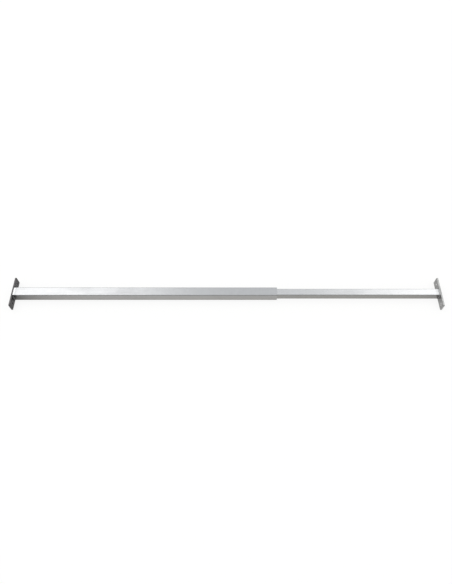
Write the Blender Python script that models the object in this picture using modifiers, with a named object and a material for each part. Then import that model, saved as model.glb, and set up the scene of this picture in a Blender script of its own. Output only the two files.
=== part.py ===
"""Telescopic spreader beam: two square steel tubes, one sliding in the other, each with a
flat drilled plate welded across its outer end.

The beam lies along X with the larger tube at -X.  The plates stand across it, long side
along Y.  Z is up, the floor is z = 0 and the origin is under the middle of the beam.
"""

import math

import bmesh
import bpy
from mathutils import Matrix, Vector

MM = 0.001

# Driving dimensions, in metres.
OUTER_WIDTH = 32 * MM         # across the flats of the outer square tube
OUTER_WALL = 3 * MM
OUTER_LENGTH = 895 * MM       # plate face to open mouth
OUTER_CORNER = 2 * MM         # outside corner radius
OUTER_BORE_CORNER = 1 * MM    # corner radius of the square bore
INNER_WALL = 2 * MM
INNER_LENGTH = 890 * MM       # whole sliding tube, the hidden stretch included
INNER_CORNER = 2 * MM
INNER_BORE_CORNER = 0.8 * MM
SLIDE_CLEARANCE = 0.5 * MM    # on each side, between the sliding tube and the bore
EXTENSION = 551 * MM          # sliding tube that shows at rest, mouth to plate face

PLATE_LENGTH = 110 * MM
PLATE_THICKNESS = 5 * MM
PLATE_CORNER = 2 * MM
HOLE_DIAMETER = 9 * MM        # clearance for an M8 bolt
HOLE_EDGE_DISTANCE = 16 * MM  # hole centre to the plate's end

SIDE_WELD_LEG = 4 * MM        # fillets on the front and rear of the outer tube
SEAM_WIDTH = 6 * MM           # groove welds on its top and bottom, ground flush
SEAM_DEPTH = 2 * MM
WELD_SETBACK = 0.5 * MM       # a fillet's toe stays this far inside the plate's edge
WELD_BULGE = 0.25             # rise of a fillet's face, as a share of its leg

SCREW_DIAMETER = 6 * MM
SCREW_LENGTH = 5 * MM
SCREW_FROM_MOUTH = 13 * MM
SCREW_CHAMFER = 0.5 * MM
HEX_ACROSS_FLATS = 3 * MM
HEX_DEPTH = 2.5 * MM

GAP = 0.3 * MM                # left between pieces that touch
EDGE_BREAK = 0.3 * MM         # deburred edges
CORNER_SEGMENTS = 5
ROUND_SEGMENTS = 48
CUT_MARGIN = 2 * MM           # how far a cutter runs past the faces that it cuts

# Sizes that follow from the ones above.
INNER_WIDTH = OUTER_WIDTH - 2 * OUTER_WALL - 2 * SLIDE_CLEARANCE
PLATE_HEIGHT = OUTER_WIDTH
INNER_WELD_LEG = (PLATE_HEIGHT - INNER_WIDTH) / 2 - WELD_SETBACK
AXIS_HEIGHT = PLATE_HEIGHT / 2
OVERALL_LENGTH = 2 * PLATE_THICKNESS + OUTER_LENGTH + EXTENSION
OUTER_FACE_X = -OVERALL_LENGTH / 2 + PLATE_THICKNESS
INNER_FACE_X = OVERALL_LENGTH / 2 - PLATE_THICKNESS
MOUTH_X = OUTER_FACE_X + OUTER_LENGTH
HOLE_OFFSET = PLATE_LENGTH / 2 - HOLE_EDGE_DISTANCE
SCREW_TIP_Y = INNER_WIDTH / 2 + GAP


def clear_scene():
    for existing in list(bpy.data.objects):
        bpy.data.objects.remove(existing, do_unlink=True)


def make_collection(name):
    group = bpy.data.collections.new(name)
    bpy.context.scene.collection.children.link(group)
    return group


def make_material(name, colour, roughness, metallic):
    material = bpy.data.materials.new(name)
    material.use_nodes = True
    shader = material.node_tree.nodes["Principled BSDF"]
    shader.inputs["Base Color"].default_value = (*colour, 1.0)
    shader.inputs["Roughness"].default_value = roughness
    shader.inputs["Metallic"].default_value = metallic
    material.diffuse_color = (*colour, 1.0)
    return material


def make_empty(name, place, group):
    empty = bpy.data.objects.new(name, None)
    empty.location = place
    empty.empty_display_size = 0.03
    group.objects.link(empty)
    return empty


def object_from_bmesh(name, shape, place, group, material=None):
    mesh = bpy.data.meshes.new(name)
    bmesh.ops.recalc_face_normals(shape, faces=shape.faces)
    shape.to_mesh(mesh)
    shape.free()
    mesh.shade_smooth()
    mesh.set_sharp_from_angle(angle=math.radians(30))
    piece = bpy.data.objects.new(name, mesh)
    piece.location = place
    if material:
        mesh.materials.append(material)
    group.objects.link(piece)
    return piece


def as_cutter(piece):
    piece.hide_render = True
    piece.display_type = "WIRE"
    return piece


def block_shape(size, corner=0.0):
    """A box whose four edges along X are rounded to the corner radius."""
    shape = bmesh.new()
    bmesh.ops.create_cube(shape, size=1.0)
    bmesh.ops.scale(shape, vec=Vector(size), verts=shape.verts)
    if corner > 0:
        along_x = [e for e in shape.edges if abs(e.verts[0].co.x - e.verts[1].co.x) > size[0] / 2]
        bmesh.ops.bevel(shape, geom=along_x, offset=corner, offset_type="OFFSET",
                        segments=CORNER_SEGMENTS, profile=0.5, affect="EDGES")
    return shape


def round_shape(diameter, length, axis, segments=ROUND_SEGMENTS):
    """A cylinder centred on the origin, along X or Y."""
    shape = bmesh.new()
    bmesh.ops.create_cone(shape, cap_ends=True, segments=segments, radius1=diameter / 2,
                          radius2=diameter / 2, depth=length)
    turn = Matrix.Rotation(math.radians(90), 4, "Y" if axis == "X" else "X")
    bmesh.ops.transform(shape, matrix=turn, verts=shape.verts)
    return shape


def cut(piece, cutter):
    modifier = piece.modifiers.new("Cut " + cutter.name, "BOOLEAN")
    modifier.operation = "DIFFERENCE"
    modifier.solver = "EXACT"
    modifier.object = cutter


def break_edges(piece, width=EDGE_BREAK):
    modifier = piece.modifiers.new("Deburr", "BEVEL")
    modifier.width = width
    modifier.segments = 2
    modifier.limit_method = "ANGLE"
    modifier.angle_limit = math.radians(35)
    modifier.harden_normals = False


def square_tube(name, start_x, end_x, width, wall, corners, material, groups):
    """A square tube between two stations on the beam's axis, with its bore cut through."""
    parts, cutters = groups
    length = end_x - start_x
    middle = (start_x + length / 2, 0, AXIS_HEIGHT)
    bore_width = width - 2 * wall
    tube = object_from_bmesh(name, block_shape((length, width, width), corners[0]),
                             middle, parts, material)
    bore_shape = block_shape((length + 2 * CUT_MARGIN, bore_width, bore_width), corners[1])
    bore = as_cutter(object_from_bmesh(name + "_bore", bore_shape, middle, cutters))
    cut(tube, bore)
    break_edges(tube)
    return tube


def end_plate(name, face_x, outward, material, groups):
    """A flat plate across the beam with a bolt hole in each ear; outward is -1 or +1."""
    parts, cutters = groups
    middle_x = face_x + outward * PLATE_THICKNESS / 2
    size = (PLATE_THICKNESS, PLATE_LENGTH, PLATE_HEIGHT)
    plate = object_from_bmesh(name, block_shape(size, PLATE_CORNER),
                              (middle_x, 0, AXIS_HEIGHT), parts, material)
    for side, label in ((-1, "front"), (1, "rear")):
        drill_shape = round_shape(HOLE_DIAMETER, PLATE_THICKNESS + 2 * CUT_MARGIN, "X")
        drill = as_cutter(object_from_bmesh(f"{name}_{label}_drill", drill_shape,
                                            (middle_x, side * HOLE_OFFSET, AXIS_HEIGHT), cutters))
        cut(plate, drill)
    break_edges(plate)
    return plate


def prism_from_outline(points, half_length):
    """A 2D curve outline, filled on both sides and extruded, as a closed mesh."""
    outline = bpy.data.curves.new("outline", "CURVE")
    outline.dimensions = "2D"
    outline.fill_mode = "BOTH"
    outline.extrude = half_length
    spline = outline.splines.new("POLY")
    spline.points.add(len(points) - 1)
    for point, (x, y) in zip(spline.points, points):
        point.co = (x, y, 0, 1)
    spline.use_cyclic_u = True
    holder = bpy.data.objects.new("outline", outline)
    bpy.context.scene.collection.objects.link(holder)
    depsgraph = bpy.context.evaluated_depsgraph_get()
    mesh = bpy.data.meshes.new_from_object(holder.evaluated_get(depsgraph))
    shape = bmesh.new()
    shape.from_mesh(mesh)
    bmesh.ops.remove_doubles(shape, verts=shape.verts, dist=0.00001)
    bpy.data.objects.remove(holder, do_unlink=True)
    bpy.data.curves.remove(outline)
    bpy.data.meshes.remove(mesh)
    return shape


def fillet_outline(leg, steps=8):
    """A right angle with its two legs on +X and +Y, closed by a gently bulging face."""
    points = [(0.0, 0.0)]
    for step in range(steps + 1):
        share = step / steps
        rise = WELD_BULGE * leg * math.sin(math.pi * share) / math.sqrt(2)
        points.append((leg * (1 - share) + rise, leg * share + rise))
    return points


def beam_side_matrix(along_beam, away_from_beam):
    """Turns an outline's +X along the beam and its +Y away from the tube's face."""
    third = along_beam.cross(away_from_beam)
    return Matrix((along_beam, away_from_beam, third)).transposed().to_4x4()


def fillet_weld(name, face_x, inward, side, half_width, length, leg, material, parts):
    """One run of weld in the corner between a tube's side and a plate.

    inward is the way from the plate along the beam; side is the tube face's normal.
    """
    shape = prism_from_outline(fillet_outline(leg), length / 2)
    matrix = beam_side_matrix(Vector((inward, 0, 0)), Vector(side))
    bmesh.ops.transform(shape, matrix=matrix, verts=shape.verts)
    place = Vector((face_x + inward * GAP, 0, AXIS_HEIGHT)) + Vector(side) * (half_width + GAP)
    return object_from_bmesh(name, shape, place, parts, material)


def seam_shape(width, depth, length, inward, up):
    """A triangular groove weld: flat on the tube's face, deepest beside the plate."""
    shape = prism_from_outline([(0.0, 0.0), (width, 0.0), (0.0, -depth)], length / 2)
    matrix = beam_side_matrix(Vector((inward, 0, 0)), Vector((0, 0, up)))
    bmesh.ops.transform(shape, matrix=matrix, verts=shape.verts)
    return shape


def flush_seam(name, tube, up, material, groups):
    """A groove weld across the outer tube's top or bottom, ground flush with its face."""
    parts, cutters = groups
    length = OUTER_WIDTH - 2 * OUTER_CORNER
    face_z = AXIS_HEIGHT + up * OUTER_WIDTH / 2
    seam = object_from_bmesh(name, seam_shape(SEAM_WIDTH, SEAM_DEPTH, length, 1, up),
                             (OUTER_FACE_X + GAP, 0, face_z), parts, material)
    # The groove is the seam enlarged by the gap, and it opens through the tube's end and face.
    slope = SEAM_DEPTH / SEAM_WIDTH
    reach = CUT_MARGIN
    lift = reach + GAP * math.hypot(1, slope)
    groove_width = SEAM_WIDTH + GAP + reach + lift / slope
    groove = as_cutter(object_from_bmesh(
        name + "_groove",
        seam_shape(groove_width, groove_width * slope, length + 2 * GAP, 1, up),
        (OUTER_FACE_X - reach, 0, face_z + up * reach), cutters))
    cut(tube, groove)
    return seam


def lock_screw(tube, material, groups, parent):
    """A headless socket screw through the rear wall, its tip close to the sliding tube."""
    parts, cutters = groups
    middle_y = SCREW_TIP_Y + SCREW_LENGTH / 2
    place = (MOUTH_X - SCREW_FROM_MOUTH, middle_y, AXIS_HEIGHT)
    screw = object_from_bmesh("lock_screw", round_shape(SCREW_DIAMETER, SCREW_LENGTH, "Y"),
                              place, parts, material)
    break_edges(screw, SCREW_CHAMFER)
    across_corners = HEX_ACROSS_FLATS / math.cos(math.pi / 6)
    socket_place = (place[0], SCREW_TIP_Y + SCREW_LENGTH + CUT_MARGIN - HEX_DEPTH / 2, place[2])
    socket = as_cutter(object_from_bmesh(
        "lock_screw_socket", round_shape(across_corners, HEX_DEPTH + 2 * CUT_MARGIN, "Y", 6),
        socket_place, cutters))
    cut(screw, socket)
    tapped_place = (place[0], OUTER_WIDTH / 2 - OUTER_WALL / 2, place[2])
    tapped = as_cutter(object_from_bmesh(
        "lock_screw_thread",
        round_shape(SCREW_DIAMETER + 2 * GAP, OUTER_WALL + 2 * CUT_MARGIN, "Y"),
        tapped_place, cutters))
    cut(tube, tapped)
    hang_from(screw, parent)
    return screw


def hang_from(piece, parent):
    """Parents a piece to an empty and keeps its place in the world."""
    piece.parent = parent
    piece.location = Vector(piece.location) - Vector(parent.location)


def build():
    clear_scene()
    parts = make_collection("spreader_beam")
    cutters = make_collection("cutters")
    groups = (parts, cutters)
    steel = make_material("galvanised_steel", (0.62, 0.64, 0.66), 0.38, 1.0)
    plate_steel = make_material("plate_steel", (0.50, 0.51, 0.52), 0.42, 1.0)
    weld_steel = make_material("weld_steel", (0.45, 0.45, 0.44), 0.5, 1.0)
    screw_steel = make_material("screw_steel", (0.08, 0.08, 0.09), 0.45, 1.0)

    outer_body = make_empty("outer_body", (0, 0, 0), parts)
    slide_axis = make_empty("slide_axis", (MOUTH_X, 0, AXIS_HEIGHT), parts)
    screw_axis = make_empty("screw_axis", (MOUTH_X - SCREW_FROM_MOUTH, 0, AXIS_HEIGHT), parts)

    outer_tube = square_tube("outer_tube", OUTER_FACE_X + GAP, MOUTH_X, OUTER_WIDTH, OUTER_WALL,
                             (OUTER_CORNER, OUTER_BORE_CORNER), steel, groups)
    inner_end_x = INNER_FACE_X - GAP
    inner_tube = square_tube("inner_tube", inner_end_x - INNER_LENGTH, inner_end_x, INNER_WIDTH,
                             INNER_WALL, (INNER_CORNER, INNER_BORE_CORNER), steel, groups)

    fixed = [outer_tube, end_plate("outer_end_plate", OUTER_FACE_X, -1, plate_steel, groups)]
    sliding = [inner_tube, end_plate("inner_end_plate", INNER_FACE_X, 1, plate_steel, groups)]

    side_length = OUTER_WIDTH - 2 * OUTER_CORNER
    for label, direction in (("front", -1), ("rear", 1)):
        fixed.append(fillet_weld(f"outer_weld_{label}", OUTER_FACE_X, 1, (0, direction, 0),
                                 OUTER_WIDTH / 2, side_length, SIDE_WELD_LEG, weld_steel, parts))
        sliding.append(fillet_weld(f"inner_weld_{label}", INNER_FACE_X, -1, (0, direction, 0),
                                   INNER_WIDTH / 2, INNER_WIDTH, INNER_WELD_LEG, weld_steel, parts))
    for label, direction in (("bottom", -1), ("top", 1)):
        fixed.append(flush_seam(f"outer_weld_{label}", outer_tube, direction, weld_steel, groups))
        sliding.append(fillet_weld(f"inner_weld_{label}", INNER_FACE_X, -1, (0, 0, direction),
                                   INNER_WIDTH / 2, INNER_WIDTH, INNER_WELD_LEG - GAP, weld_steel,
                                   parts))

    lock_screw(outer_tube, screw_steel, groups, screw_axis)
    for piece in fixed:
        hang_from(piece, outer_body)
    for piece in sliding:
        hang_from(piece, slide_axis)


build()
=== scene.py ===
"""Looks for a telescopic spreader beam: zinc-finished square tubes with welded end plates.

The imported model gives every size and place.  Each finish is a procedural material on
Object coordinates, and the welds and the lock screw are surfaces worked out with numpy.
"""

import math

import bpy
import numpy as np
from bpy.props import FloatProperty, FloatVectorProperty, PointerProperty
from mathutils import Euler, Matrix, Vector


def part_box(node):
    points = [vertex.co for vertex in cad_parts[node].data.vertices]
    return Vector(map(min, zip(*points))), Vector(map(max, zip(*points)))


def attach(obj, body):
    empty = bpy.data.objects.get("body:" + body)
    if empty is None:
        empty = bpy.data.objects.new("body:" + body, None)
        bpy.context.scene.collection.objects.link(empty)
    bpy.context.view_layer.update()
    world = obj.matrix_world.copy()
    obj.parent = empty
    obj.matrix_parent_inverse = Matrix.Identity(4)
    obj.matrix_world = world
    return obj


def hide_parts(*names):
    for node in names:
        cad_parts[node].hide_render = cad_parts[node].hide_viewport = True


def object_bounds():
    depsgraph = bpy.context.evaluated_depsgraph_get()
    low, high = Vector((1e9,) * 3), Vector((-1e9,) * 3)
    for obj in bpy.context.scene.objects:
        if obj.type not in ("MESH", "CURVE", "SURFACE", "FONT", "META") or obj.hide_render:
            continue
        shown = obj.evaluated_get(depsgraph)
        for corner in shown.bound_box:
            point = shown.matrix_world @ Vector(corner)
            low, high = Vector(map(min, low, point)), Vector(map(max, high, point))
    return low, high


bl_info = {
    "name": "Telescopic spreader beam",
    "version": (1, 0, 0),
    "blender": (4, 5, 0),
    "location": "3D View > Sidebar > Spreader Beam",
    "description": "Finishes a telescopic beam: zinc tubes, drilled end plates, welds and a lock screw",
    "category": "Add Mesh",
}

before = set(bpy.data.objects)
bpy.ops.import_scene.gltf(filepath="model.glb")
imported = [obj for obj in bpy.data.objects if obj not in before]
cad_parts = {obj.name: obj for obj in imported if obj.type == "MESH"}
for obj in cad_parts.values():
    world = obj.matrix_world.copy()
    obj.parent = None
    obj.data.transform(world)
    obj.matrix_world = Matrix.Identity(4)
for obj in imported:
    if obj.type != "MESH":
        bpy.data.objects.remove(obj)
CAD_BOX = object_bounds()
MM = 0.001
# Reach of the painted shade on the tubes' front and rear faces near the plates.
PLATE_SHADE_REACH = 85 * MM
HOLE_RADIUS = 4.5 * MM
HOLE_FROM_END = 16 * MM
SCREW_CHAMFER = 0.6 * MM
FLOOR_SIDE = 14.0
WARM_WHITE = (1.0, 0.985, 0.96)


# ---------------------------------------------------------------- settings

def length_setting(name, description, millimetres, low=0.0, high=100.0):
    return FloatProperty(name=name, description=description, default=millimetres * MM,
                         min=low * MM, max=high * MM, unit="LENGTH", precision=5)


def colour_setting(name, description, colour):
    return FloatVectorProperty(name=name, description=description, default=colour, size=3,
                               min=0.0, max=1.0, subtype="COLOR")


class SPREADERBEAM_PG_sizes(bpy.types.PropertyGroup):
    """Sizes of the fine surface: weld ripples, thread and grain."""

    ripple_pitch: length_setting("Ripple pitch", "Distance between weld ripples", 1.35)
    ripple_height: length_setting("Ripple height", "Height of a weld ripple", 0.14)
    weld_sink: length_setting("Weld sink", "How far a weld runs into the steel behind it", 0.4)
    weld_crown: FloatProperty(name="Weld crown", description="Rise of a fillet's face, per leg",
                              default=0.22, min=0.0, max=0.5)
    seam_relief: length_setting("Seam relief", "Depth of the marks left in a ground seam", 0.04)
    thread_pitch: length_setting("Thread pitch", "Pitch of the lock screw's thread", 1.0)
    thread_depth: length_setting("Thread depth", "Depth of the lock screw's thread", 0.55)
    hex_across_flats: length_setting("Hex size", "Lock screw's socket across flats", 3.0)
    hex_depth: length_setting("Hex depth", "Depth of the lock screw's socket", 2.4)


class SPREADERBEAM_PG_colours(bpy.types.PropertyGroup):
    """Linear colours of the finishes."""

    outer_tube: colour_setting("Larger tube", "Zinc on the larger tube", (0.474, 0.479, 0.488))
    inner_tube: colour_setting("Smaller tube", "Zinc on the smaller tube", (0.565, 0.570, 0.578))
    # Painted shade: the larger tube's plate takes a much darker copy of the plate zinc, for its shaded
    # inner face.
    outer_plate: colour_setting("Larger tube's plate", "Dark zinc on its plate",
                                (0.067, 0.065, 0.066))
    inner_plate: colour_setting("Smaller tube's plate", "Grey zinc on its plate",
                                (0.32, 0.32, 0.315))
    # Painted shade: the front and rear fillets take dark copies of the weld zinc, for the shade in the
    # corner between tube and plate.
    outer_weld: colour_setting("Larger tube's welds", "Dark zinc over its fillets",
                               (0.10, 0.10, 0.10))
    inner_weld: colour_setting("Smaller tube's welds", "Grey zinc over its fillets",
                               (0.20, 0.20, 0.195))
    # The top and bottom fillets take a lighter copy of the same weld zinc.
    top_bottom_weld: colour_setting("Top and bottom welds", "Zinc over its brushed top and bottom fillets",
                                 (0.47, 0.47, 0.465))
    ground_weld: colour_setting("Ground seams", "Zinc over the ground seams",
                                (0.50, 0.505, 0.51))
    screw: colour_setting("Lock screw", "Black oxide", (0.045, 0.045, 0.048))
    floor: colour_setting("Floor", "Pale studio floor", (0.95, 0.94, 0.91))
    sky: colour_setting("Sky", "Cool white surround", (0.965, 0.985, 1.0))


class SPREADERBEAM_PG_stage(bpy.types.PropertyGroup):
    """Camera and studio light."""

    elevation: FloatProperty(name="Elevation", description="Camera pitch below the horizon",
                             default=math.radians(58.76), subtype="ANGLE")
    yaw: FloatProperty(name="Yaw", description="Camera turn to the left",
                       default=math.radians(0.23), subtype="ANGLE")
    roll: FloatProperty(name="Roll", description="Camera tilt about its line of sight",
                        default=math.radians(-0.18), subtype="ANGLE")
    height: length_setting("Height", "Camera height over the beam's axis", 1524.5, 0, 9000)
    standoff: length_setting("Standoff", "Camera distance in front of the beam", 917.8, 0, 9000)
    sideways: length_setting("Sideways", "Camera offset along the beam", 2.3, -1000, 1000)
    lens: FloatProperty(name="Lens", description="Focal length in millimetres", default=32.13)
    sky: FloatProperty(name="Sky", description="Strength of the white surround", default=1.0)
    left_softbox: FloatProperty(name="Left softbox", description="Radiance that it adds",
                                default=1.43)
    right_softbox: FloatProperty(name="Right softbox", description="Radiance that it adds",
                                 default=1.08)
    floor_glow: FloatProperty(name="Floor glow", description="Share of the floor that is plain white",
                              default=0.87, min=0.0, max=1.0, subtype="FACTOR")


# ------------------------------------------------------------ mesh helpers

def ring_mesh(name, rings):
    """A closed skin through rings of points.

    rings is an array (stations, points around, 3).  Neighbouring rings are joined by
    quads, the last point of a ring joins its first, and each end is closed by a fan to
    the end ring's mean point.  Faces are turned outwards by the sign of the volume.
    """
    stations, around, _ = rings.shape
    middles = np.array([rings[0].mean(0), rings[-1].mean(0)])
    points = np.concatenate([rings.reshape(-1, 3), middles])
    row = np.arange(stations - 1)[:, None] * around
    here = np.arange(around)[None, :]
    following = (here + 1) % around
    quads = np.stack([row + here, row + following, row + around + following,
                      row + around + here], axis=-1).reshape(-1, 4)
    first, last = stations * around, stations * around + 1
    final_row = (stations - 1) * around
    step, after = here[0], following[0]
    start_fan = np.stack([after, step, np.full(around, first)], axis=-1)
    end_fan = np.stack([final_row + step, final_row + after, np.full(around, last)], axis=-1)
    triangles = np.concatenate([start_fan, end_fan])
    corners = points[np.concatenate([quads[:, [0, 1, 2]], quads[:, [0, 2, 3]], triangles])]
    volume = np.einsum("ij,ij->i", corners[:, 0], np.cross(corners[:, 1], corners[:, 2])).sum()
    if volume < 0:
        quads, triangles = quads[:, ::-1], triangles[:, ::-1]
    mesh = bpy.data.meshes.new(name)
    mesh.from_pydata(points.tolist(), [], quads.tolist() + triangles.tolist())
    mesh.update()
    mesh.shade_smooth()
    mesh.set_sharp_from_angle(angle=math.radians(40))
    piece = bpy.data.objects.new(name, mesh)
    bpy.context.scene.collection.objects.link(piece)
    return piece


def end_taper(distance_along, length, round_length):
    """Quarter-circle rise from 0 at each end of a run to 1 a round_length inside it."""
    from_end = np.minimum(distance_along, length - distance_along)
    share = np.clip(from_end / round_length, 0.0, 1.0)
    return np.sqrt(np.clip(1.0 - (1.0 - share) ** 2, 0.0, 1.0))


def wander(values, wavelength, phases):
    """A smooth irregular wave between about -1 and 1: three sines at unlike wavelengths."""
    ratios = np.array([1.0, 0.61, 0.37])
    angles = 2 * math.pi * values[..., None] / (wavelength * ratios) + phases
    return (np.sin(angles) * ratios).sum(-1) / ratios.sum()


def fillet_rings(length, leg_beam, leg_plate, sizes, phases):
    """Rings of a hand-laid fillet bead, in its own axes (along the beam, away from it, run).

    Across the face, v goes from the tube's toe to the plate's: the straight line between
    the toes plus a crown of sin(pi v).  Along the run, crescent ripples trail behind the
    arc as a sharpened sine of the distance plus a share of (2 v - 1) squared, the whole
    section swells and thins a little, and both ends round off.
    """
    sink = sizes.weld_sink
    stations = int(length / sizes.ripple_pitch * 12)
    run = np.linspace(0.0, length, stations)[:, None]
    v = np.linspace(0.0, 1.0, 26)[None, :]
    swell = 1.0 + 0.07 * wander(run, 9 * MM, phases[0])
    taper = np.maximum(end_taper(run, length, 1.6 * leg_plate), 0.05)
    trail = 0.45 * sizes.ripple_pitch * (2 * v - 1) ** 2
    cycle = (run + trail + 0.25 * sizes.ripple_pitch * wander(run, 6 * MM, phases[1]))
    wave = np.sin(2 * math.pi * cycle / sizes.ripple_pitch)
    ripple = sizes.ripple_height * (0.5 + 0.5 * wave) ** 1.5 * np.sin(math.pi * v) ** 0.5
    crown = sizes.weld_crown * leg_plate * np.sin(math.pi * v) * swell
    rise = (crown + ripple) / math.sqrt(2)
    toe_drift = 1.0 + 0.06 * wander(run, 4 * MM, phases[2])
    along = (leg_beam * toe_drift * (1 - v) + rise) * taper - sink * v
    away = (leg_plate * swell * v + rise) * taper - sink * (1 - v)
    face = np.stack([along, away, np.broadcast_to(run - length / 2, along.shape)], axis=-1)
    root = np.stack([np.full(stations, -sink), np.full(stations, -sink),
                     run[:, 0] - length / 2], axis=-1)
    return np.concatenate([face, root[:, None, :]], axis=1)


def seam_rings(length, width, depth, sizes, phases):
    """Rings of a groove weld ground flush, in the axes (along the beam, up, run).

    The top lies in the tube's face.  Marks are left only below it: faint ripples, and a
    shallow hollow that wanders along both edges.  The root is one line at full depth.
    """
    stations = int(length / sizes.ripple_pitch * 10)
    run = np.linspace(0.0, length, stations)[:, None]
    v = np.linspace(0.0, 1.0, 22)[None, :]
    wave = np.sin(2 * math.pi * (run / sizes.ripple_pitch + 0.4 * (2 * v - 1) ** 2))
    ripple = sizes.seam_relief * (0.5 - 0.5 * wave) * np.sin(math.pi * v)
    undercut = 1.6 * sizes.seam_relief * np.abs(2 * v - 1) ** 8
    undercut = undercut * (0.6 + 0.4 * wander(run, 7 * MM, phases[0]))
    along = np.broadcast_to(width * v, ripple.shape)
    up = -(ripple + undercut)
    face = np.stack([along, up, np.broadcast_to(run - length / 2, along.shape)], axis=-1)
    root = np.stack([np.zeros(stations), np.full(stations, -depth), run[:, 0] - length / 2],
                    axis=-1)
    return np.concatenate([face, root[:, None, :]], axis=1)


def place_rings(rings, origin, along, away):
    """Turns rings from (along, away, run) axes into the part's frame."""
    third = np.cross(along, away)
    return np.array(origin) + rings @ np.array([along, away, third], float)


def screw_rings(radius, length, sizes):
    """Rings of a headless socket screw along +Z, tip at 0, hexagon socket at the top.

    A list of stations runs from the cup point up the thread, over the top and down the
    socket.  On the thread the radius is the outer one less a triangle wave of
    (height / pitch - turn), faded out at both chamfers.  In the socket it is the
    hexagon's, half the flats over the cosine of the angle from the nearest flat.
    """
    turn = np.linspace(0.0, 1.0, 96, endpoint=False)[None, :]
    pitch, depth = sizes.thread_pitch, sizes.thread_depth
    height = np.linspace(0.0, length, int(length / pitch * 14))[:, None]
    phase = (height / pitch - turn) % 1.0
    groove = depth * (1.0 - np.abs(2.0 * phase - 1.0))
    end_room = np.clip(np.minimum(height, length - height) / SCREW_CHAMFER, 0.0, 1.0)
    thread_radius = np.minimum(radius - groove, radius - 0.8 * depth * (1.0 - end_room) - 0.02 * MM)
    thread_height = np.broadcast_to(height, thread_radius.shape)
    flat_angle = (turn * 6.0 % 1.0 - 0.5) * math.pi / 3
    hexagon = sizes.hex_across_flats / 2 / np.cos(flat_angle)
    cup = [(0.30, 0.55), (0.62, 0.0)]
    tip = [(radius * share * np.ones_like(turn), rise * MM * np.ones_like(turn))
           for share, rise in cup]
    top = [(hexagon + 0.25 * MM, np.full_like(turn, length)),
           (hexagon, np.full_like(turn, length - 0.15 * MM)),
           (hexagon, np.full_like(turn, length - sizes.hex_depth)),
           (0.35 * hexagon, np.full_like(turn, length - sizes.hex_depth - 0.4 * MM))]
    radii = np.concatenate([r for r, _ in tip] + [thread_radius] + [r for r, _ in top])
    heights = np.concatenate([h for _, h in tip] + [thread_height] + [h for _, h in top])
    angle = 2 * math.pi * turn
    return np.stack([radii * np.cos(angle), radii * np.sin(angle), heights], axis=-1)


# ---------------------------------------------------------- shader helpers

def new_group(name, inputs, outputs):
    """An empty shader node group; each input is (name, default), each output a name."""
    group = bpy.data.node_groups.new(name, "ShaderNodeTree")
    for label, default in inputs:
        kind = "NodeSocketVector" if default is None else "NodeSocketFloat"
        socket = group.interface.new_socket(label, in_out="INPUT", socket_type=kind)
        if default is not None:
            socket.default_value = default
    for label in outputs:
        group.interface.new_socket(label, in_out="OUTPUT", socket_type="NodeSocketFloat")
    return group, group.nodes.new("NodeGroupInput"), group.nodes.new("NodeGroupOutput")


def feed(tree, socket, value):
    """Links an output to a socket, or sets the socket to a plain value."""
    if isinstance(value, bpy.types.NodeSocket):
        tree.links.new(value, socket)
    else:
        socket.default_value = value


def math_node(tree, operation, first, second=0.0, third=0.0, clamp=False):
    node = tree.nodes.new("ShaderNodeMath")
    node.operation = operation
    node.use_clamp = clamp
    for socket, value in zip(node.inputs, (first, second, third)):
        feed(tree, socket, value)
    return node.outputs[0]


def remap(tree, value, from_low, from_high, to_low=0.0, to_high=1.0):
    """Smooth, clamped change of range."""
    node = tree.nodes.new("ShaderNodeMapRange")
    node.interpolation_type = "SMOOTHSTEP"
    for socket, number in zip(node.inputs, (value, from_low, from_high, to_low, to_high)):
        feed(tree, socket, number)
    return node.outputs[0]


def stretched_noise(tree, vector, stretch, scale, detail=3.0, roughness=0.55):
    """Noise on coordinates that are first scaled by stretch, one number per axis."""
    mapping = tree.nodes.new("ShaderNodeMapping")
    mapping.inputs["Scale"].default_value = stretch
    feed(tree, mapping.inputs["Vector"], vector)
    noise = tree.nodes.new("ShaderNodeTexNoise")
    feed(tree, noise.inputs["Vector"], mapping.outputs[0])
    feed(tree, noise.inputs["Scale"], scale)
    noise.inputs["Detail"].default_value = detail
    noise.inputs["Roughness"].default_value = roughness
    return noise.outputs[0]


def split_vector(tree, vector):
    node = tree.nodes.new("ShaderNodeSeparateXYZ")
    feed(tree, node.inputs[0], vector)
    return node.outputs


def mix_colour(tree, factor, first, second, blend="MIX"):
    node = tree.nodes.new("ShaderNodeMix")
    node.data_type = "RGBA"
    node.blend_type = blend
    feed(tree, node.inputs["Factor"], factor)
    feed(tree, node.inputs["A"], first)
    feed(tree, node.inputs["B"], second)
    return node.outputs["Result"]


def use_group(tree, group, **values):
    node = tree.nodes.new("ShaderNodeGroup")
    node.node_tree = group
    for label, value in values.items():
        feed(tree, node.inputs[label.replace("_", " ")], value)
    return node.outputs


def shade(colour, factor):
    return (*(min(1.0, c * factor) for c in colour), 1.0)


def build_grain_group():
    """Drawing lines along X: noise stretched lengthwise, coarse and fine, as mask and height."""
    group, given, result = new_group(
        "Drawn grain", [("Vector", None), ("Lines Per Metre", 700.0)], ["Lines", "Height"])
    vector, density = given.outputs["Vector"], given.outputs["Lines Per Metre"]
    coarse = stretched_noise(group, vector, (0.012, 1.0, 1.0), density, 2.0)
    fine_density = math_node(group, "MULTIPLY", density, 3.1)
    fine = stretched_noise(group, vector, (0.006, 1.0, 1.0), fine_density, 3.0, 0.7)
    both = math_node(group, "MULTIPLY_ADD", fine, 0.6, math_node(group, "MULTIPLY", coarse, 0.4))
    group.links.new(remap(group, both, 0.35, 0.65), result.inputs["Lines"])
    group.links.new(both, result.inputs["Height"])
    return group


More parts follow.
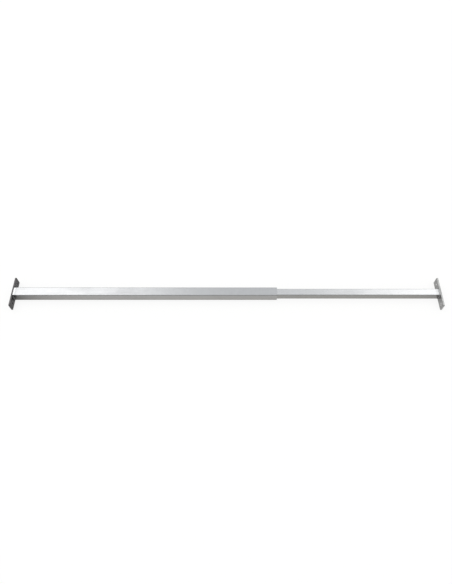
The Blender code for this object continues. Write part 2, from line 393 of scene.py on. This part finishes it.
def build_zinc_group():
    """Zinc mottle: soft crystal patches with a few dull spots, as tone and spots."""
    group, given, result = new_group(
        "Zinc mottle", [("Vector", None), ("Patches Per Metre", 120.0), ("Spot Limit", 0.66)],
        ["Tone", "Spots"])
    vector, density = given.outputs["Vector"], given.outputs["Patches Per Metre"]
    crystal = group.nodes.new("ShaderNodeTexVoronoi")
    crystal.feature = "SMOOTH_F1"
    group.links.new(vector, crystal.inputs["Vector"])
    group.links.new(density, crystal.inputs["Scale"])
    crystal.inputs["Randomness"].default_value = 1.0
    cell = math_node(group, "MULTIPLY", crystal.outputs["Distance"], 0.55)
    cloud = stretched_noise(group, vector, (1.0, 1.0, 1.0), density, 4.0, 0.6)
    tone = math_node(group, "MULTIPLY_ADD", cloud, 0.75, cell)
    group.links.new(remap(group, tone, 0.25, 0.95), result.inputs["Tone"])
    spot = stretched_noise(group, vector, (1.0, 1.0, 1.0),
                           math_node(group, "MULTIPLY", density, 3.3), 2.0)
    limit = given.outputs["Spot Limit"]
    edge = math_node(group, "ADD", limit, 0.09)
    group.links.new(remap(group, spot, limit, edge), result.inputs["Spots"])
    return group


def build_corner_dull_shade_group():
    """Painted shade and dullness on a square section's long corners: both sides near their limit,
    broken by noise.
    """
    group, given, result = new_group(
        "Corner dullness and shade",
        [("Vector", None), ("Half Width", 0.016), ("Middle Height", 0.016), ("Reach", 0.0012)],
        ["Wear"])
    parts = split_vector(group, given.outputs["Vector"])
    reach = given.outputs["Reach"]
    across = math_node(group, "ABSOLUTE", parts[1])
    upward = math_node(group, "ABSOLUTE",
                       math_node(group, "SUBTRACT", parts[2], given.outputs["Middle Height"]))
    nearer = math_node(group, "MINIMUM", across, upward)
    inside = math_node(group, "SUBTRACT", given.outputs["Half Width"], nearer)
    broken = stretched_noise(group, given.outputs["Vector"], (0.25, 1.0, 1.0), 260.0, 4.0, 0.65)
    ragged = math_node(group, "MULTIPLY_ADD", broken, reach, inside)
    wide = math_node(group, "MULTIPLY", reach, 2.6)
    group.links.new(remap(group, ragged, reach, wide, 1.0, 0.0), result.inputs["Wear"])
    return group


def build_marks_group():
    """Handling marks: broad faint smears and small specks, as one mask."""
    group, given, result = new_group("Handling marks", [("Vector", None), ("Amount", 0.5)],
                                     ["Marks"])
    smear = stretched_noise(group, given.outputs["Vector"], (0.35, 1.0, 1.0), 22.0, 5.0, 0.6)
    speck = stretched_noise(group, given.outputs["Vector"], (1.0, 1.0, 1.0), 900.0, 1.0)
    smears = remap(group, smear, 0.45, 0.75)
    specks = remap(group, speck, 0.74, 0.80)
    both = math_node(group, "MAXIMUM", smears, specks)
    group.links.new(math_node(group, "MULTIPLY", both, given.outputs["Amount"]),
                    result.inputs["Marks"])
    return group


def group_named(name, builder):
    return bpy.data.node_groups.get(name) or builder()


def effect_groups():
    return {
        "grain": group_named("Drawn grain", build_grain_group),
        "zinc": group_named("Zinc mottle", build_zinc_group),
        "corner_dull_shade": group_named("Corner dullness and shade", build_corner_dull_shade_group),
        "marks": group_named("Handling marks", build_marks_group),
    }


def new_material(name, metallic=1.0):
    """A node material with its Principled shader and the Object coordinates."""
    material = bpy.data.materials.new(name)
    material.use_nodes = True
    tree = material.node_tree
    shader = tree.nodes["Principled BSDF"]
    shader.inputs["Metallic"].default_value = metallic
    place = tree.nodes.new("ShaderNodeTexCoord").outputs["Object"]
    return material, tree, shader, place


def add_bump(tree, shader, height, distance, strength=1.0):
    bump = tree.nodes.new("ShaderNodeBump")
    bump.inputs["Strength"].default_value = strength
    bump.inputs["Distance"].default_value = distance
    tree.links.new(height, bump.inputs["Height"])
    tree.links.new(bump.outputs[0], shader.inputs["Normal"])


# --------------------------------------------------------------- materials

def tube_material(name, colour, node, weld_x, roughness, flank_shade, plate_shade, scored=False):
    """Bright zinc on drawn square tube.

    Lengthwise lines, soft mottle and handling marks over the faces, front and rear faces
    darker in painted shade, duller rolled corners darkened in painted shade, a scarfed
    seam strip along the underside and a faint band of heat beside the weld.  flank_shade
    tints the front and rear faces as painted shade with a warm painted reflection, and
    plate_shade is the share of their tone lost to painted shade at the plate, for the dark
    plate's reflection, which thins out as exp(-distance / reach).
    A scored tube has a broken bright line along its rear face, where the lock screw bears.
    """
    low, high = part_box(node)
    groups = effect_groups()
    material, tree, shader, place = new_material(name)
    grain = use_group(tree, groups["grain"], Vector=place, Lines_Per_Metre=650.0)
    zinc = use_group(tree, groups["zinc"], Vector=place, Patches_Per_Metre=95.0, Spot_Limit=0.68)
    corner_dull_shade = use_group(tree, groups["corner_dull_shade"], Vector=place, Half_Width=(high.y - low.y) / 2,
                     Middle_Height=(high.z + low.z) / 2, Reach=1.1 * MM)
    marks = use_group(tree, groups["marks"], Vector=place, Amount=0.8)
    x, y, z = split_vector(tree, place)[:3]
    from_weld = math_node(tree, "ABSOLUTE", math_node(tree, "SUBTRACT", x, weld_x))
    ragged = stretched_noise(tree, place, (1.0, 1.0, 1.0), 140.0, 3.0)
    heat_edge = math_node(tree, "MULTIPLY_ADD", ragged, 8 * MM, from_weld)
    heat = remap(tree, heat_edge, 8 * MM, 20 * MM, 1.0, 0.0)
    strip = remap(tree, math_node(tree, "ABSOLUTE", math_node(tree, "SUBTRACT", y, 3 * MM)),
                  1.2 * MM, 1.9 * MM, 1.0, 0.0)
    under = remap(tree, z, low.z + 0.2 * MM, low.z + 0.6 * MM, 1.0, 0.0)
    seam = math_node(tree, "MULTIPLY", strip, under)

    half_width = (high.y - low.y) / 2
    side = remap(tree, math_node(tree, "ABSOLUTE", y), half_width - 1.6 * MM,
                 half_width - 0.4 * MM)

    tone = mix_colour(tree, zinc["Tone"], shade(colour, 0.97), shade(colour, 1.03))
    tone = mix_colour(tree, math_node(tree, "MULTIPLY", grain["Lines"], 0.35), tone,
                      shade(colour, 0.90))
    # Painted shade: the front and rear faces are darkened and warmed by the flank tint.
    tone = mix_colour(tree, side, tone, (*flank_shade, 1.0), "MULTIPLY")
    # Painted shade towards the plate on the front and rear faces, for the dark plate's reflection.
    thinning = math_node(tree, "EXPONENT", math_node(tree, "DIVIDE", from_weld, -PLATE_SHADE_REACH))
    plate_shade_mask = math_node(tree, "MULTIPLY", math_node(tree, "MULTIPLY", thinning, side), plate_shade)
    tone = mix_colour(tree, plate_shade_mask, tone, (0.0, 0.0, 0.0, 1.0))
    tone = mix_colour(tree, math_node(tree, "MULTIPLY", zinc["Spots"], 0.25), tone,
                      shade(colour, 0.7))
    tone = mix_colour(tree, math_node(tree, "MULTIPLY", marks["Marks"], 0.16), tone,
                      shade(colour, 0.78))
    tone = mix_colour(tree, math_node(tree, "MULTIPLY", heat, 0.12), tone,
                      shade((colour[0], colour[1] * 0.97, colour[2] * 0.92), 0.74))
    tone = mix_colour(tree, math_node(tree, "MULTIPLY", seam, 0.5), tone, shade(colour, 0.68))
    # Painted shade: the rounded long corners are darkened; below they are also made rougher.
    tone = mix_colour(tree, math_node(tree, "MULTIPLY", corner_dull_shade["Wear"], 0.75), tone,
                      shade(colour, 0.42))
    if scored:
        from_line = math_node(tree, "ABSOLUTE",
                              math_node(tree, "SUBTRACT", z, (high.z + low.z) / 2))
        line = remap(tree, from_line, 0.5 * MM, 1.2 * MM, 1.0, 0.0)
        rear = remap(tree, y, half_width - 0.3 * MM, half_width - 0.1 * MM)
        skips = remap(tree, stretched_noise(tree, place, (0.03, 1.0, 1.0), 900.0), 0.42, 0.55)
        score = math_node(tree, "MULTIPLY", math_node(tree, "MULTIPLY", line, rear), skips)
        tone = mix_colour(tree, math_node(tree, "MULTIPLY", score, 0.6), tone,
                          shade(colour, 1.2))
    tree.links.new(tone, shader.inputs["Base Color"])

    rough = remap(tree, grain["Lines"], 0.0, 1.0, roughness - 0.035, roughness + 0.035)
    rough = math_node(tree, "MULTIPLY_ADD", marks["Marks"], 0.09, rough)
    rough = math_node(tree, "MULTIPLY_ADD", heat, 0.12, rough)
    rough = math_node(tree, "MULTIPLY_ADD", seam, 0.15, rough)
    rough = math_node(tree, "MULTIPLY_ADD", corner_dull_shade["Wear"], 0.08, rough, clamp=True)
    tree.links.new(rough, shader.inputs["Roughness"])

    height = math_node(tree, "MULTIPLY_ADD", zinc["Tone"], 0.2, grain["Height"])
    height = math_node(tree, "MULTIPLY_ADD", zinc["Spots"], -0.25, height)
    add_bump(tree, shader, height, 0.012 * MM)
    return material


def plate_material(name, colour, node, tube_node, lit_edge_gain):
    """Zinc over rolled flat bar.

    Mottled scale on the faces, sawn lines on the two short ends, brighter arrises, a
    rubbed ring round each bolt hole and a dull halo round the tube that is welded on.
    lit_edge_gain is the tone of the rolled long edges beside the faces': lighter, painted light as on
    the up-facing edge.
    """
    low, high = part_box(node)
    tube_low, tube_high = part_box(tube_node)
    middle_z = (low.z + high.z) / 2
    half_length = (high.y - low.y) / 2
    half_height = (high.z - low.z) / 2
    groups = effect_groups()
    material, tree, shader, place = new_material(name)
    zinc = use_group(tree, groups["zinc"], Vector=place, Patches_Per_Metre=210.0, Spot_Limit=0.56)
    marks = use_group(tree, groups["marks"], Vector=place, Amount=1.0)
    _, y, z = split_vector(tree, place)[:3]
    side = math_node(tree, "ABSOLUTE", y)
    upward = math_node(tree, "ABSOLUTE", math_node(tree, "SUBTRACT", z, middle_z))

    # Rubbed ring round the bolt holes, and a painted highlight on the holes' own walls.
    hole_y = half_length - HOLE_FROM_END
    radius = math_node(tree, "SQRT", math_node(
        tree, "ADD", math_node(tree, "POWER", math_node(tree, "SUBTRACT", side, hole_y), 2.0),
        math_node(tree, "POWER", upward, 2.0)))
    ring_noise = stretched_noise(tree, place, (1.0, 1.0, 1.0), 420.0, 3.0)
    ring_edge = math_node(tree, "MULTIPLY_ADD", ring_noise, 2.2 * MM, radius)
    ring = remap(tree, ring_edge, 7.0 * MM, 8.6 * MM, 1.0, 0.0)
    bore_highlight = remap(tree, radius, HOLE_RADIUS + 0.1 * MM, HOLE_RADIUS + 0.5 * MM, 1.0, 0.0)

    # Halo round the tube: how far a point stands outside the tube's square.
    tube_half = (tube_high.y - tube_low.y) / 2
    outside = math_node(tree, "SUBTRACT", math_node(tree, "MAXIMUM", side, upward), tube_half)
    halo_edge = math_node(tree, "MULTIPLY_ADD", ring_noise, 5 * MM, outside)
    halo = remap(tree, halo_edge, 5 * MM, 12 * MM, 1.0, 0.0)

    # Arrises: long edges, short ends and both faces' rims.
    rim_side = math_node(tree, "SUBTRACT", half_length, side)
    rim_up = math_node(tree, "SUBTRACT", half_height, upward)
    nearest = math_node(tree, "MINIMUM", rim_side, rim_up)
    rim = remap(tree, math_node(tree, "MULTIPLY_ADD", ring_noise, 1.0 * MM, nearest),
                0.7 * MM, 1.3 * MM, 1.0, 0.0)
    sawn_end = remap(tree, rim_side, 0.05 * MM, 0.25 * MM, 1.0, 0.0)
    saw_lines = stretched_noise(tree, place, (1.0, 1.0, 0.03), 1500.0, 2.0)

    tone = mix_colour(tree, zinc["Tone"], shade(colour, 0.70), shade(colour, 1.28))
    tone = mix_colour(tree, math_node(tree, "MULTIPLY", zinc["Spots"], 0.5), tone,
                      shade(colour, 0.45))
    tone = mix_colour(tree, math_node(tree, "MULTIPLY", marks["Marks"], 0.25), tone,
                      shade(colour, 1.45))
    tone = mix_colour(tree, math_node(tree, "MULTIPLY", halo, 0.35), tone,
                      shade((colour[0] * 1.02, colour[1] * 0.97, colour[2] * 0.9), 0.62))
    tone = mix_colour(tree, math_node(tree, "MULTIPLY", ring, 0.45), tone, shade(colour, 1.55))
    tone = mix_colour(tree, math_node(tree, "MULTIPLY", rim, 0.35), tone, shade(colour, 1.4))
    # Painted highlight: the walls of the bolt holes are lightened.
    tone = mix_colour(tree, bore_highlight, tone, shade(colour, 1.7))
    # Painted light: the long top and bottom edge faces of the plate are lightened.
    lit_edge = remap(tree, rim_up, 0.05 * MM, 0.3 * MM, 1.0, 0.0)
    tone = mix_colour(tree, lit_edge, tone, shade(colour, lit_edge_gain))
    tree.links.new(tone, shader.inputs["Base Color"])

    rough = remap(tree, zinc["Tone"], 0.0, 1.0, 0.52, 0.40)
    rough = math_node(tree, "MULTIPLY_ADD", zinc["Spots"], 0.1, rough)
    rough = math_node(tree, "MULTIPLY_ADD", halo, 0.1, rough)
    rough = math_node(tree, "MULTIPLY_ADD", ring, -0.1, rough)
    rough = math_node(tree, "MULTIPLY_ADD", rim, -0.08, rough, clamp=True)
    tree.links.new(rough, shader.inputs["Roughness"])

    saw_height = math_node(tree, "MULTIPLY", math_node(tree, "MULTIPLY", saw_lines, sawn_end), 1.6)
    height = math_node(tree, "MULTIPLY_ADD", zinc["Tone"], 1.0, saw_height)
    height = math_node(tree, "MULTIPLY_ADD", zinc["Spots"], -0.6, height)
    add_bump(tree, shader, height, 0.05 * MM)
    return material


def weld_material(name, colour, ground):
    """Zinc over weld metal: fine grit, soot-dark pits, and on a ground seam cross scratches."""
    groups = effect_groups()
    material, tree, shader, place = new_material(name)
    zinc = use_group(tree, groups["zinc"], Vector=place, Patches_Per_Metre=700.0, Spot_Limit=0.6)
    marks = use_group(tree, groups["marks"], Vector=place, Amount=0.7)
    scratch = stretched_noise(tree, place, (1.0, 0.05, 1.0), 2600.0, 2.0)
    dark, light, pits = (0.92, 1.06, 0.25) if ground else (0.78, 1.18, 0.55)
    tone = mix_colour(tree, zinc["Tone"], shade(colour, dark), shade(colour, light))
    tone = mix_colour(tree, math_node(tree, "MULTIPLY", zinc["Spots"], pits), tone,
                      shade(colour, 0.4))
    tone = mix_colour(tree, math_node(tree, "MULTIPLY", marks["Marks"], 0.2), tone,
                      shade(colour, 0.7))
    if ground:
        lines = remap(tree, scratch, 0.4, 0.6)
        tone = mix_colour(tree, math_node(tree, "MULTIPLY", lines, 0.3), tone,
                          shade(colour, 1.25))
    tree.links.new(tone, shader.inputs["Base Color"])
    rough_low, rough_high = (0.37, 0.30) if ground else (0.50, 0.36)
    rough = remap(tree, zinc["Tone"], 0.0, 1.0, rough_low, rough_high)
    tree.links.new(math_node(tree, "MULTIPLY_ADD", zinc["Spots"], 0.12, rough, clamp=True),
                   shader.inputs["Roughness"])
    height = math_node(tree, "MULTIPLY_ADD", scratch, 0.8 if ground else 0.15, zinc["Tone"])
    add_bump(tree, shader, height, (0.006 if ground else 0.02) * MM)
    return material


def screw_material(name, colour):
    """Black oxide with a thin oil sheen and rubbed, greyer high spots."""
    groups = effect_groups()
    material, tree, shader, place = new_material(name, metallic=0.9)
    zinc = use_group(tree, groups["zinc"], Vector=place, Patches_Per_Metre=900.0, Spot_Limit=0.6)
    marks = use_group(tree, groups["marks"], Vector=place, Amount=0.6)
    tone = mix_colour(tree, zinc["Tone"], shade(colour, 0.7), shade(colour, 1.6))
    tone = mix_colour(tree, math_node(tree, "MULTIPLY", marks["Marks"], 0.4), tone,
                      shade(colour, 3.0))
    tree.links.new(tone, shader.inputs["Base Color"])
    tree.links.new(remap(tree, zinc["Tone"], 0.0, 1.0, 0.48, 0.34), shader.inputs["Roughness"])
    add_bump(tree, shader, zinc["Tone"], 0.01 * MM)
    return material


def floor_material(colour, glow):
    """Matt pale paint with the faintest unevenness, part of it plain white.

    The white share shows to the camera and in the metal's reflections, so the floor
    stays white and keeps a light shadow.
    """
    material, tree, shader, place = new_material("Studio floor", metallic=0.0)
    cloud = stretched_noise(tree, place, (1.0, 1.0, 1.0), 3.0, 3.0)
    tone = mix_colour(tree, cloud, shade(colour, 0.995), shade(colour, 1.005))
    tree.links.new(tone, shader.inputs["Base Color"])
    shader.inputs["Roughness"].default_value = 0.95
    shader.inputs["Specular IOR Level"].default_value = 0.1
    rays = tree.nodes.new("ShaderNodeLightPath").outputs
    seen = math_node(tree, "MAXIMUM", rays["Is Camera Ray"],
                     math_node(tree, "MAXIMUM", rays["Is Glossy Ray"],
                               rays["Is Transmission Ray"]))
    white = tree.nodes.new("ShaderNodeEmission")
    blend = tree.nodes.new("ShaderNodeMixShader")
    feed(tree, blend.inputs[0], math_node(tree, "MULTIPLY", seen, glow))
    tree.links.new(shader.outputs[0], blend.inputs[1])
    tree.links.new(white.outputs[0], blend.inputs[2])
    tree.links.new(blend.outputs[0], tree.nodes["Material Output"].inputs["Surface"])
    return material


def flag_material():
    """Black cloth that darkens what the metal reflects from in front."""
    material, _, shader, _ = new_material("Black flag", metallic=0.0)
    shader.inputs["Base Color"].default_value = (0.02, 0.02, 0.02, 1.0)
    return material


def give_material(piece, material):
    piece.data.materials.clear()
    piece.data.materials.append(material)


# --------------------------------------------------------------- operators

def settings():
    scene = bpy.context.scene
    return scene.beam_sizes, scene.beam_colours, scene.beam_stage


class SPREADERBEAM_OT_tubes(bpy.types.Operator):
    """Finish both square tubes in drawn, zinc-coated steel"""

    bl_idname = "spreaderbeam.tubes"
    bl_label = "Finish Tubes"

    def execute(self, context):
        _, colours, _ = settings()
        outer_weld_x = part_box("outer_tube")[0].x
        inner_weld_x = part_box("inner_tube")[1].x
        # Each tube's front and rear faces get painted shade, deeper towards its plate.
        give_material(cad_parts["outer_tube"], tube_material(
            "Outer tube zinc", tuple(colours.outer_tube), "outer_tube", outer_weld_x,
            roughness=0.31, flank_shade=(0.80, 0.78, 0.745), plate_shade=0.78))
        give_material(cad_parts["inner_tube"], tube_material(
            "Inner tube zinc", tuple(colours.inner_tube), "inner_tube", inner_weld_x,
            roughness=0.29, flank_shade=(0.565, 0.55, 0.515), plate_shade=0.2, scored=True))
        return {"FINISHED"}


class SPREADERBEAM_OT_plates(bpy.types.Operator):
    """Finish both drilled end plates in mottled zinc over rolled flat bar"""

    bl_idname = "spreaderbeam.plates"
    bl_label = "Finish End Plates"

    def execute(self, context):
        _, colours, _ = settings()
        # The larger tube's plate gets the dark colour, which is painted shade.
        for end, colour, lit_edge_gain in (("outer", colours.outer_plate, 1.4),
                                       ("inner", colours.inner_plate, 1.15)):
            material = plate_material(f"{end.capitalize()} plate zinc", tuple(colour),
                                      f"{end}_end_plate", f"{end}_tube", lit_edge_gain)
            give_material(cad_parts[f"{end}_end_plate"], material)
        return {"FINISHED"}


def weld_phases(rng):
    return [rng.uniform(0.0, 2 * math.pi, 3) for _ in range(3)]


class SPREADERBEAM_OT_fillet_welds(bpy.types.Operator):
    """Lay rippled fillet beads in the corners between tubes and plates"""

    bl_idname = "spreaderbeam.fillet_welds"
    bl_label = "Lay Fillet Welds"

    def execute(self, context):
        sizes, colours, _ = settings()
        rng = np.random.default_rng(7)
        sides = (("front", 1, -1), ("rear", 1, 1), ("bottom", 2, -1), ("top", 2, 1))
        ends = (("outer", "outer_beam", 1, sides[:2]), ("inner", "sliding_beam", -1, sides))
        top_bottom_weld_material = weld_material("Top and bottom weld zinc", tuple(colours.top_bottom_weld), ground=False)
        for end, body, inward, runs in ends:
            colour = colours.outer_weld if end == "outer" else colours.inner_weld
            # Painted shade: a dark copy of the weld zinc for the front and rear fillets.
            shaded_weld_material = weld_material(f"{end.capitalize()} weld zinc", tuple(colour), ground=False)
            for label, axis, direction in runs:
                node = f"{end}_weld_{label}"
                low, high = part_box(node)
                run_axis = 3 - axis
                root = (low + high) / 2
                root.x = low.x if inward > 0 else high.x
                root[axis] = low[axis] if direction > 0 else high[axis]
                away = np.zeros(3)
                away[axis] = direction
                rings = fillet_rings(high[run_axis] - low[run_axis], high.x - low.x,
                                     high[axis] - low[axis], sizes, weld_phases(rng))
                rings = place_rings(rings, root, (inward, 0.0, 0.0), away)
                bead = ring_mesh(f"{node}_bead", rings)
                # Front and rear fillets take the dark copy, which is painted shade; top and bottom take
                # the lighter one.
                give_material(bead, shaded_weld_material if axis == 1 else top_bottom_weld_material)
                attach(bead, body)
                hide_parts(node)
        return {"FINISHED"}


class SPREADERBEAM_OT_flush_seams(bpy.types.Operator):
    """Fill the larger tube's grooves with welds that are ground flush"""

    bl_idname = "spreaderbeam.flush_seams"
    bl_label = "Fill Flush Seams"

    def execute(self, context):
        sizes, colours, _ = settings()
        material = weld_material("Ground weld zinc", tuple(colours.ground_weld), ground=True)
        rng = np.random.default_rng(11)
        for label, direction in (("bottom", -1), ("top", 1)):
            node = f"outer_weld_{label}"
            low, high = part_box(node)
            surface = high.z if direction > 0 else low.z
            origin = (low.x - 0.2 * MM, 0.0, surface)
            rings = seam_rings(high.y - low.y, high.x - low.x + 0.9 * MM, high.z - low.z, sizes,
                               weld_phases(rng))
            rings = place_rings(rings, origin, (1.0, 0.0, 0.0), (0.0, 0.0, float(direction)))
            seam = ring_mesh(f"{node}_seam", rings)
            give_material(seam, material)
            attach(seam, "outer_beam")
            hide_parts(node)
        return {"FINISHED"}


class SPREADERBEAM_OT_lock_screw(bpy.types.Operator):
    """Cut the lock screw's thread and hexagon socket"""

    bl_idname = "spreaderbeam.lock_screw"
    bl_label = "Cut Lock Screw"

    def execute(self, context):
        sizes, colours, _ = settings()
        low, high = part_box("lock_screw")
        rings = screw_rings((high.x - low.x) / 2, high.y - low.y, sizes)
        # The screw's own +Z points out of the rear wall, along +Y.
        origin = np.array([(low.x + high.x) / 2, low.y, (low.z + high.z) / 2])
        turned = np.stack([rings[..., 1], rings[..., 2], rings[..., 0]], axis=-1) + origin
        screw = ring_mesh("lock_screw_thread", turned)
        give_material(screw, screw_material("Black oxide", tuple(colours.screw)))
        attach(screw, "lock_screw")
        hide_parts("lock_screw")
        return {"FINISHED"}


def add_area_lamp(name, place, target, size, radiance):
    """A softbox aimed at a point; its power is radiance times area times pi."""
    data = bpy.data.lights.new(name, "AREA")
    data.shape = "RECTANGLE"
    data.size, data.size_y = size
    data.energy = radiance * size[0] * size[1] * math.pi
    data.color = WARM_WHITE
    lamp = bpy.data.objects.new(name, data)
    lamp.location = place
    lamp.rotation_euler = (Vector(target) - Vector(place)).to_track_quat("-Z", "Y").to_euler()
    lamp.visible_camera = False
    bpy.context.scene.collection.objects.link(lamp)
    return lamp


def add_panel(name, size, place, rotation, material):
    """A flat rectangle of one face, for the floor and the flag."""
    half_x, half_y = size[0] / 2, size[1] / 2
    corners = [(-half_x, -half_y, 0), (half_x, -half_y, 0), (half_x, half_y, 0),
               (-half_x, half_y, 0)]
    mesh = bpy.data.meshes.new(name)
    mesh.from_pydata(corners, [], [(0, 1, 2, 3)])
    panel = bpy.data.objects.new(name, mesh)
    panel.location = place
    panel.rotation_euler = rotation
    give_material(panel, material)
    bpy.context.scene.collection.objects.link(panel)
    return panel


class SPREADERBEAM_OT_stage(bpy.types.Operator):
    """Set the pale floor, the soft studio light and the camera"""

    bl_idname = "spreaderbeam.stage"
    bl_label = "Set Stage"

    def execute(self, context):
        _, colours, stage = settings()
        scene = context.scene
        low, high = CAD_BOX
        middle = (low + high) / 2

        add_panel("studio_floor", (FLOOR_SIDE, FLOOR_SIDE), (0, 0, low.z - 0.1 * MM), (0, 0, 0),
                  floor_material(tuple(colours.floor), stage.floor_glow))
        flag = add_panel("black_flag", (3.6, 1.5), (0.0, -1.9, 1.75),
                         (math.radians(48), 0, 0), flag_material())
        flag.visible_camera = False
        flag.visible_diffuse = False
        flag.visible_shadow = False

        world = bpy.data.worlds.new("Studio surround")
        world.use_nodes = True
        background = world.node_tree.nodes["Background"]
        rays = world.node_tree.nodes.new("ShaderNodeLightPath").outputs
        tint = mix_colour(world.node_tree, rays["Is Camera Ray"], (*colours.sky, 1.0),
                          (1.0, 1.0, 1.0, 1.0))
        world.node_tree.links.new(tint, background.inputs["Color"])
        background.inputs["Strength"].default_value = stage.sky
        scene.world = world

        add_area_lamp("softbox_left", (-2.2, 1.9, 3.1), (-0.4, 0.0, 0.0), (2.6, 2.4),
                      stage.left_softbox)
        add_area_lamp("softbox_right", (2.6, 1.9, 3.1), (0.4, 0.0, 0.0), (2.2, 2.4),
                      stage.right_softbox)

        camera_data = bpy.data.cameras.new("camera")
        camera_data.lens = stage.lens
        camera_data.sensor_fit = "AUTO"
        camera_data.sensor_width = 36.0
        camera_data.clip_end = 50.0
        camera = bpy.data.objects.new("camera", camera_data)
        camera.location = middle + Vector((stage.sideways, -stage.standoff, stage.height))
        pitch = math.pi / 2 - stage.elevation
        turn = Euler((pitch, 0.0, stage.yaw)).to_matrix() @ Euler((0, 0, stage.roll)).to_matrix()
        camera.rotation_euler = turn.to_euler()
        scene.collection.objects.link(camera)
        scene.camera = camera
        scene.view_settings.view_transform = "Standard"
        return {"FINISHED"}


class SPREADERBEAM_PT_panel(bpy.types.Panel):
    """Lists the beam's settings and its steps"""

    bl_label = "Spreader Beam"
    bl_idname = "SPREADERBEAM_PT_panel"
    bl_space_type = "VIEW_3D"
    bl_region_type = "UI"
    bl_category = "Spreader Beam"

    def draw(self, context):
        layout = self.layout
        for group in settings():
            box = layout.box()
            for label in group.bl_rna.properties.keys():
                if label not in {"rna_type", "name"}:
                    box.prop(group, label)
        for step in STEPS:
            layout.operator(step.bl_idname)


STEPS = (SPREADERBEAM_OT_tubes, SPREADERBEAM_OT_plates, SPREADERBEAM_OT_fillet_welds,
         SPREADERBEAM_OT_flush_seams, SPREADERBEAM_OT_lock_screw, SPREADERBEAM_OT_stage)
CLASSES = (SPREADERBEAM_PG_sizes, SPREADERBEAM_PG_colours, SPREADERBEAM_PG_stage, *STEPS,
           SPREADERBEAM_PT_panel)


def register():
    for item in CLASSES:
        bpy.utils.register_class(item)
    bpy.types.Scene.beam_sizes = PointerProperty(type=SPREADERBEAM_PG_sizes)
    bpy.types.Scene.beam_colours = PointerProperty(type=SPREADERBEAM_PG_colours)
    bpy.types.Scene.beam_stage = PointerProperty(type=SPREADERBEAM_PG_stage)


def unregister():
    del bpy.types.Scene.beam_stage
    del bpy.types.Scene.beam_colours
    del bpy.types.Scene.beam_sizes
    for item in reversed(CLASSES):
        bpy.utils.unregister_class(item)


def main():
    register()
    bpy.ops.spreaderbeam.tubes()
    bpy.ops.spreaderbeam.plates()
    bpy.ops.spreaderbeam.fillet_welds()
    bpy.ops.spreaderbeam.flush_seams()
    bpy.ops.spreaderbeam.lock_screw()
    bpy.ops.spreaderbeam.stage()


if __name__ == "__main__":
    main()
